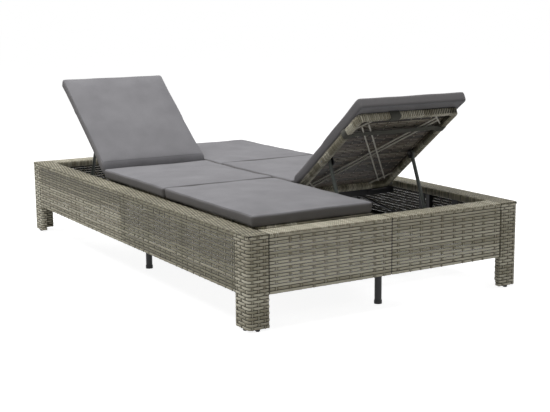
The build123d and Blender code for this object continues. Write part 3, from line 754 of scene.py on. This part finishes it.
def inflate(mesh_object):
    """Lets the cover swell a little over its foam, by cloth simulation; returns the mesh's points."""
    start = np.array([v.co for v in mesh_object.data.vertices])
    cloth = mesh_object.modifiers.new("cloth", "CLOTH")
    settings = cloth.settings
    settings.use_pressure = True
    settings.uniform_pressure_force = cover_pressure
    settings.quality = 5
    settings.tension_stiffness = 15
    settings.compression_stiffness = 15
    settings.shear_stiffness = 8
    settings.bending_stiffness = 1.5
    settings.effector_weights.gravity = 0.0
    cloth.point_cache.frame_start = 1
    cloth.point_cache.frame_end = cover_frames
    scene = bpy.context.scene
    for number in range(1, cover_frames + 1):
        scene.frame_set(number)
    graph = bpy.context.evaluated_depsgraph_get()
    cover = mesh_object.evaluated_get(graph).to_mesh()
    points = np.array([v.co for v in cover.vertices])
    mesh_object.evaluated_get(graph).to_mesh_clear()
    mesh_object.modifiers.remove(cloth)
    scene.frame_set(1)
    move = points - start
    length = np.linalg.norm(move, axis=1)
    cap = cushion_cap * np.tanh(length / cushion_cap)
    swollen = start + move * (cap / np.maximum(length, 1e-9))[:, None]
    for axis in (0, 1):
        low, high = swollen[:, axis].min(), swollen[:, axis].max()
        share = (swollen[:, axis] - low) / (high - low)
        swollen[:, axis] = start[:, axis].min() * (1 - share) + start[:, axis].max() * share
    return swollen


def cushion_mesh(name, x0, x1, y0, y1, slope):
    """Mesh of one cushion, lying flat with its underside at height 0."""
    points, faces, boxing = slab(x0, x1, y0, y1, slope)
    fine = bpy.data.meshes.new(name)
    fine.from_pydata(points, [], faces)
    body = bpy.data.objects.new(name, fine)
    bpy.context.scene.collection.objects.link(body)
    boxing = np.array(boxing, np.float32)
    moved = inflate(body)
    x, y, z = moved.T
    wave = np.sin(x * 23 + 1.3 * np.sin(y * 17)) * np.sin(y * 19 + 1.7 * np.sin(x * 13 + x0 * 40))
    moved[:, 2] += cushion_ripple * wave * np.clip(z / cushion_thick, 0, 1)
    moved[:, 2] = np.maximum(moved[:, 2], 0.0)
    moved[:, 1] = np.clip(moved[:, 1], y0, y1)
    fine.vertices.foreach_set("co", moved.astype(np.float32).ravel())
    marks = fine.attributes.new("boxing", "FLOAT", "POINT")
    marks.data.foreach_set("value", boxing)
    finer = body.modifiers.new("finer", "SUBSURF")
    finer.levels = 1
    finer.render_levels = 1
    graph = bpy.context.evaluated_depsgraph_get()
    done = bpy.data.meshes.new_from_object(body.evaluated_get(graph))
    done.name = name
    bpy.data.objects.remove(body)
    done.polygons.foreach_set("use_smooth", [True] * len(done.polygons))
    return done


def edge_seam(mesh, x0, x1, y0, y1, slope, height):
    """Sewn edge laid on a cushion's surface, as strands in the cushion's own coordinates."""
    tree = BVHTree.FromPolygons([v.co for v in mesh.vertices], [p.vertices for p in mesh.polygons])
    left, right = x0 + slope * height + seam_inset, x1 - seam_inset
    near, far = y0 + seam_inset, y1 - seam_inset
    corners = [(left, near), (left, far), (right, far), (right, near)]
    track = Track(corners, (cushion_corner,) * 4, closed=True)
    s = np.linspace(0, track.length, seam_count, endpoint=False)
    flat, outward = track.at(s)
    points, normals = [], []
    for (x, y), (nx, ny) in zip(flat, outward):
        lift = 1 if height > cushion_thick / 2 else -1
        place, normal = tree.find_nearest(
            Vector((x - nx * 0.004, y - ny * 0.004, height + lift * 0.001)))[:2]
        ray = Vector((nx, ny, lift)).normalized()
        hit = tree.ray_cast(place + ray * 0.02, -ray, 0.05)
        if hit[0] is not None:
            place, normal = hit[0], hit[1]
        points.append(place - normal * seam_sink)
        normals.append(normal)
    strands = Strands()
    strands.add(points, normals, seam_width, seam_thick, 0.5, closed=True)
    return strands


def cushions(fabric, seam_cloth):
    """Back, seat and foot cushions of both loungers, each with its seams."""
    seat_low, seat_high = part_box("seat_cushion_2")
    y0 = seat_low.y
    y1 = seat_high.y
    foot_box_low, foot_box_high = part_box("foot_cushion_2")
    rise = edge / 2 + cushion_lift
    lean = math.tan(cushion_fold_angle)
    back_start = hinge.x + cushion_fold_gap / math.cos(cushion_fold_angle) + rise * lean
    spans = {
        "seat": (seat_low.x, seat_high.x, 0.0),
        "foot": (foot_box_low.x, foot_box_high.x, 0.0),
        "back": (back_start, hinge.x + backrest_length + cushion_overhang, lean),
    }
    base = rim_height + cushion_lift
    for name, (x0, x1, slope) in spans.items():
        mesh = cushion_mesh(f"{name}_cushion_cover", x0, x1, y0, y1, slope)
        mesh.materials.append(fabric)
        top = edge_seam(mesh, x0, x1, y0, y1, slope, cushion_thick)
        low = edge_seam(mesh, x0, x1, y0, y1, slope, 0.0)
        for lounger in (1, 2):
            on_back = name == "back"
            body = f"backrest_{lounger}" if on_back else "bed"
            turn = raise_back(lounger) if on_back else flip_to(lounger)
            turn = turn @ Matrix.Translation(Vector((0, 0, base)))
            piece = bpy.data.objects.new(f"{name}_cushion_cover_{lounger}", mesh.copy())
            bpy.context.scene.collection.objects.link(piece)
            piece.matrix_world = turn
            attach(piece, body)
            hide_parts(f"{name}_cushion_{lounger}")
            for label, strands in (("top", top), ("low", low)):
                seam_piece = strands.piece(f"{name}_cushion_{label}_seam_{lounger}", seam_cloth, body,
                                           slot="cushion_fabric", turn=turn)
                seam_piece["part_of"] = piece.name


def straps(webbing):
    """Two straps of each back cushion: one across under the panel, one round the head tube."""
    gap = strap_fit
    x = hinge.x + backrest_length - strap_from_head + strap_width / 2
    top = panel_high.z
    low = panel_low.z - gap
    deep = top - strap_depth
    y0 = panel_in - gap
    run = [(y0, top + 0.002), (y0, top - edge / 2), (y0 + 0.001, low + 0.004), (y0 + 0.005, low),
           (panel_in + edge / 2, low), (panel_in + edge - 0.002, low),
           (panel_in + edge + 0.006, low + 0.004), (panel_in + edge + 0.03, deep + 0.001)]
    middle = (panel_in + panel_out) / 2
    place = panel_in + head_strap_share * (panel_out - panel_in)
    path = run + [(middle, deep - 0.002)] + [(2 * middle - y, z) for y, z in run[::-1]]
    for lounger in (1, 2):
        strands = Strands()
        points = np.array([(x, y, z) for y, z in path])
        strands.add(points, strap_normals(points, (x, middle, top)), strap_width, strap_thick, 0.5)
        head = hinge.x + backrest_length
        inner = head - edge - gap
        loop = [(head + gap, top + 0.002), (head + gap, top - edge / 2), (head, low + 0.004),
                (head - 0.004, low), (head - edge / 2, low), (inner + 0.004, low),
                (inner, low + 0.005), (inner, top - 0.010)]
        points = np.array([(a, place, z) for a, z in loop])
        strands.add(points, strap_normals(points, (head - edge / 2, place, top - edge / 2)),
                    head_strap_width, strap_thick, 0.5)
        piece = strands.piece(f"cushion_straps_woven_{lounger}", webbing, f"backrest_{lounger}",
                              slot="strap_webbing", turn=raise_back(lounger))
        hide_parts(f"cushion_straps_{lounger}")


def strap_normals(points, centre):
    """Directions from the panel out through a strap."""
    run = np.gradient(points, axis=0)
    crosswise = abs(run[0, 1]) + abs(run[2, 1]) > abs(run[2, 0])
    flat = (1.0, 0.0, 0.0) if crosswise else (0.0, 1.0, 0.0)
    facing = np.cross(run, np.array(flat))
    facing /= np.linalg.norm(facing, axis=1)[:, None]
    away = points - np.array(centre)
    signs = np.sign((facing * away).sum(1))
    middle = len(points) // 2
    sign = signs[middle] if signs[middle] != 0 else 1.0
    return facing * sign


# Materials

def linear(red, green, blue):
    """Scene colour from the 0 to 255 values that a screen shows."""
    return tuple(((c / 255 + 0.055) / 1.055) ** 2.4 if c > 10 else c / 255 / 12.92
                 for c in (red, green, blue)) + (1.0,)


def add_node(tree, kind, inputs=(), **settings):
    """New node of a tree, with its inputs linked to sockets or set to constants."""
    made = tree.nodes.new(kind)
    for key, value in settings.items():
        setattr(made, key, value)
    for key, value in dict(inputs).items():
        if isinstance(value, bpy.types.NodeSocket):
            tree.links.new(value, made.inputs[key])
        else:
            made.inputs[key].default_value = value
    return made


def seen_by(tree, *rays):
    """1 for the named kinds of ray and 0 for all others."""
    paths = tree.nodes.new("ShaderNodeLightPath").outputs
    seen = paths[rays[0]]
    for ray in rays[1:]:
        seen = add_node(tree, "ShaderNodeMath", {0: seen, 1: paths[ray]}, operation="MAXIMUM").outputs[0]
    return seen


class Finish:
    """Procedural material, built up from its nodes."""

    def __init__(self, name, roughness, metallic=0.0, specular=0.5):
        self.material = bpy.data.materials.new(name)
        self.material.use_nodes = True
        self.tree = self.material.node_tree
        self.shader = self.tree.nodes["Principled BSDF"]
        self.shader.inputs["Roughness"].default_value = roughness
        self.shader.inputs["Metallic"].default_value = metallic
        self.shader.inputs["Specular IOR Level"].default_value = specular

    def node(self, kind, inputs=(), **settings):
        return add_node(self.tree, kind, inputs, **settings)

    def math(self, operation, a, b=0.0, c=0.0):
        return self.node("ShaderNodeMath", {0: a, 1: b, 2: c}, operation=operation).outputs[0]

    def ramp(self, factor, stops):
        made = self.node("ShaderNodeValToRGB", {"Fac": factor})
        band = made.color_ramp
        while len(band.elements) < len(stops):
            band.elements.new(1.0)
        for element, (place, colour) in zip(band.elements, stops):
            element.position = place
            element.color = colour
        return made.outputs["Color"]

    def noise(self, vector, scale, detail=2.0, roughness=0.5):
        made = self.node("ShaderNodeTexNoise", {"Vector": vector, "Scale": scale, "Detail": detail,
                                                "Roughness": roughness})
        return made.outputs["Fac"]

    def bump(self, height, strength, distance):
        made = self.node("ShaderNodeBump", {"Height": height, "Strength": strength, "Distance": distance})
        self.tree.links.new(made.outputs["Normal"], self.shader.inputs["Normal"])

    def spread(self, value, low, high):
        """0 below the low value, 1 above the high one, even between them."""
        made = self.node("ShaderNodeMapRange", {"Value": value, "From Min": low, "From Max": high})
        return made.outputs["Result"]

    def blend(self, factor, colour, other):
        """One colour going over to another one, which is constant."""
        made = self.node("ShaderNodeMixRGB", {"Fac": factor, "Color1": colour})
        made.inputs["Color2"].default_value = other
        return made.outputs["Color"]

    def link(self, socket, name):
        self.tree.links.new(socket, self.shader.inputs[name])


def rattan_finish(name, tones):
    """Synthetic strips in mixed greys with streaks along them; a painted highlight on each strip's top
    edge, painted shade at its edges and on its hidden face.
    """
    f = Finish(name, 0.5, specular=0.35)
    marks = f.node("ShaderNodeAttribute", attribute_name="strand")
    parts = f.node("ShaderNodeSeparateXYZ", {"Vector": marks.outputs["Vector"]})
    along, across, tone = parts.outputs
    patch = f.noise(f.node("ShaderNodeCombineXYZ", {"X": f.math("MULTIPLY", along, 9.0)}).outputs[0],
                    1.0, 2.0)
    streak_at = f.node("ShaderNodeCombineXYZ", {"X": f.math("MULTIPLY", along, 45.0),
                                                "Y": f.math("MULTIPLY", across, 3.5)})
    streak = f.noise(streak_at.outputs[0], 1.0, 3.0, 0.6)
    shade = f.math("MULTIPLY_ADD", f.math("SUBTRACT", patch, 0.5), 0.5, tone)
    shade = f.math("MULTIPLY_ADD", f.math("SUBTRACT", streak, 0.5), 0.45, shade)
    # Painted highlight: each strip is made lighter along its top edge, where light from above would catch
    # it
    top_edge_highlight = f.spread(across, 0.25, 0.62)
    shade = f.math("MULTIPLY_ADD", top_edge_highlight, 0.34, shade)
    # Painted shade: each strip is darkened towards its edges, as the gaps between strips lie in shade
    painted_edge_shade = f.spread(f.math("ABSOLUTE", across), 0.56, 0.86)
    # Painted shade: the hidden face of each strip is made nearly black
    colour = f.blend(f.spread(across, 1.05, 1.5), f.ramp(shade, tones), hidden_face_shade)
    colour = f.blend(f.math("MULTIPLY", painted_edge_shade, 0.9), colour, edge_shade_tone)
    f.link(colour, "Base Color")
    f.link(f.math("MULTIPLY_ADD", streak, 0.25, 0.38), "Roughness")
    f.bump(streak, 0.35, 0.0006)
    return f.material


def fabric_finish(name, colour_low, colour_high, thread, roughness=0.85, side=None):
    """Plain woven cloth: fine threads both ways, a faint mottle, and a boxing made darker as painted
    shade if it has one.
    """
    f = Finish(name, roughness, specular=0.12)
    f.shader.inputs["Sheen Weight"].default_value = 0.05
    f.shader.inputs["Sheen Roughness"].default_value = 0.5
    where = f.node("ShaderNodeTexCoord").outputs["Object"]
    parts = f.node("ShaderNodeSeparateXYZ", {"Vector": where})
    waves = [f.math("SINE", f.math("MULTIPLY", axis, 2 * math.pi / thread)) for axis in parts.outputs]
    x, y, z = waves
    grid = f.math("ADD", f.math("MULTIPLY", x, y), f.math("MULTIPLY", y, z))
    grid = f.math("ADD", grid, f.math("MULTIPLY", z, x))
    grain = f.noise(where, 900.0, 2.0)
    mottle = f.noise(where, 9.0, 3.0)
    mix = f.math("MULTIPLY_ADD", grid, 0.12, mottle)
    mix = f.math("MULTIPLY_ADD", f.math("SUBTRACT", grain, 0.5), 0.5, mix)
    colour = f.ramp(mix, ((0.2, colour_low), (0.8, colour_high)))
    if side is not None:
        # Painted shade: points on the boxing take the darker side colour, for the shade on the cushion's
        # sides
        boxing = f.node("ShaderNodeAttribute", attribute_name="boxing").outputs["Fac"]
        colour = f.blend(boxing, colour, side)
    f.link(colour, "Base Color")
    f.bump(f.math("MULTIPLY_ADD", grain, 0.6, grid), 0.25, 0.0003)
    return f.material


def coated_finish(name, dark, light, roughness, scale=220.0, metallic=0.0):
    """Powder coat or moulded plastic: fine orange peel, faint dust and wear."""
    f = Finish(name, roughness, metallic=metallic, specular=0.45)
    where = f.node("ShaderNodeTexCoord").outputs["Object"]
    peel = f.noise(where, scale * 6, 2.0)
    dust = f.noise(where, scale / 10, 4.0, 0.6)
    f.link(f.ramp(dust, ((0.3, dark), (0.75, light))), "Base Color")
    f.link(f.math("MULTIPLY_ADD", dust, 0.2, roughness - 0.1), "Roughness")
    f.bump(peel, 0.2, 0.0002)
    return f.material


# Painted shade for the hidden faces of the strips, nearly black
hidden_face_shade = linear(27, 26, 24)
# Painted shade for the edges of the strips, dark like the gaps between them
edge_shade_tone = linear(38, 35, 28)
rattan_tones = (
    (0.0, linear(74, 70, 57)),
    (0.18, linear(106, 101, 83)),
    (0.36, linear(140, 137, 113)),
    (0.52, linear(146, 138, 118)),
    (0.68, linear(170, 164, 140)),
    (0.84, linear(190, 183, 162)),
    (1.0, linear(222, 217, 196)),
)
# Painted shade: a darker, browner copy of the rattan tones for the underside of the raised backrest's
# woven field
shaded_cane_tones = (
    (0.0, linear(40, 37, 32)),
    (0.25, linear(66, 60, 52)),
    (0.5, linear(104, 90, 80)),
    (0.66, linear(122, 114, 100)),
    (0.82, linear(160, 152, 136)),
    (1.0, linear(206, 200, 184)),
)


def dress_frame():
    """Gives each CAD node that stays its finish."""
    black = coated_finish("black_powder_coat", linear(26, 26, 28), linear(40, 40, 42), 0.5)
    grey = coated_finish("grey_powder_coat", linear(196, 192, 180), linear(222, 218, 206), 0.45)
    dark = coated_finish("dark_grey_coat", linear(62, 68, 63), linear(84, 90, 84), 0.4)
    zinc = coated_finish("zinc_plate", linear(140, 141, 142), linear(170, 170, 170), 0.35, metallic=0.9)
    plastic = coated_finish("moulded_plastic", linear(22, 22, 23), linear(36, 36, 37), 0.55)
    kinds = (("prop_pins", zinc), ("hinge_pins", zinc), ("frame_bolts", zinc),
             ("prop_brackets", black), ("prop_rack", black), ("prop_", dark),
             ("backrest_rods", grey), ("hinge_cradles", black),
             ("support_leg_caps", plastic), ("corner_glides", plastic), ("", black))
    for name, node in frame["nodes"].items():
        finish = next(material for start, material in kinds if name.startswith(start))
        node.data.materials.clear()
        node.data.materials.append(finish)


# Scene

def add_camera():
    """Camera of the photograph: its place, direction and roll."""
    cy, sy = math.cos(camera_yaw), math.sin(camera_yaw)
    cp, sp = math.cos(camera_pitch), math.sin(camera_pitch)
    ahead = Vector((cy * cp, sy * cp, sp))
    right = Vector((sy, -cy, 0))
    above = right.cross(ahead)
    cr, sr = math.cos(camera_roll), math.sin(camera_roll)
    right, above = cr * right + sr * above, -sr * right + cr * above
    data = bpy.data.cameras.new("camera")
    data.sensor_width = sensor
    data.lens = focal_pixels / image_width * sensor
    camera = bpy.data.objects.new("camera", data)
    grid = Matrix((right, above, -ahead)).transposed().to_4x4()
    camera.matrix_world = Matrix.Translation(camera_place) @ grid
    bpy.context.scene.collection.objects.link(camera)
    bpy.context.scene.camera = camera


def add_floor():
    """Pale floor that keeps a faint shadow and shows white elsewhere."""
    r = floor_reach
    mesh = bpy.data.meshes.new("floor")
    mesh.from_pydata([(-r, -r, 0), (r, -r, 0), (r, r, 0), (-r, r, 0)], [], [(0, 1, 2, 3)])
    floor = bpy.data.objects.new("floor", mesh)
    bpy.context.scene.collection.objects.link(floor)
    material = bpy.data.materials.new("floor")
    material.use_nodes = True
    tree = material.node_tree
    tree.nodes.clear()
    matt = add_node(tree, "ShaderNodeBsdfDiffuse", {"Color": floor_matt}).outputs[0]
    glow = add_node(tree, "ShaderNodeEmission", {"Strength": floor_glow}).outputs[0]
    plain = add_node(tree, "ShaderNodeBsdfDiffuse", {"Color": floor_plain}).outputs[0]
    both = add_node(tree, "ShaderNodeAddShader", {0: matt, 1: glow}).outputs[0]
    seen = seen_by(tree, "Is Camera Ray", "Is Glossy Ray")
    mix = add_node(tree, "ShaderNodeMixShader", {0: seen, 1: plain, 2: both}).outputs[0]
    add_node(tree, "ShaderNodeOutputMaterial", {"Surface": mix})
    mesh.materials.append(material)


def add_light():
    """White world, and one large soft lamp above the near side."""
    world = bpy.data.worlds.new("studio")
    bpy.context.scene.world = world
    world.use_nodes = True
    tree = world.node_tree
    seen = seen_by(tree, "Is Camera Ray", "Is Glossy Ray", "Is Transmission Ray")
    strength = add_node(tree, "ShaderNodeMapRange",
                        {"Value": seen, "To Min": world_light, "To Max": 1.0})
    background = tree.nodes["Background"]
    tree.links.new(strength.outputs["Result"], background.inputs["Strength"])
    background.inputs["Color"].default_value = (1, 1, 1, 1)
    data = bpy.data.lights.new("overhead", "AREA")
    data.shape = "DISK"
    data.size = lamp_size
    data.energy = lamp_power
    lamp = bpy.data.objects.new("overhead", data)
    lamp.location = lamp_place
    lamp.rotation_euler = (lamp_aim - lamp_place).to_track_quat("-Z", "Y").to_euler()
    bpy.context.scene.collection.objects.link(lamp)


bpy.context.scene.view_settings.view_transform = "Standard"
add_camera()
add_floor()
add_light()
dress_frame()
rattan = rattan_finish("rattan_strips", rattan_tones)
# The backrest's woven field takes the darker tones as painted shade
cane = rattan_finish("shaded_cane_strips", shaded_cane_tones)
# The cushion cloth's side colour is painted shade on the boxing
fabric = fabric_finish("cushion_cloth", linear(126, 125, 128), linear(142, 141, 144), 0.0011,
                       side=linear(128, 126, 127))
seam_cloth = fabric_finish("seam_cloth", linear(104, 103, 106), linear(120, 119, 122), 0.0009)
webbing = fabric_finish("strap_webbing", linear(84, 84, 78), linear(104, 104, 96), 0.0016)
for number, (sx, sy) in enumerate(((1, 1), (-1, 1), (-1, -1), (1, -1)), start=1):
    side_module(number, sx, sy, rattan)
    end_module(number, sx, sy, rattan)
panels(rattan, cane)
cushions(fabric, seam_cloth)
straps(webbing)
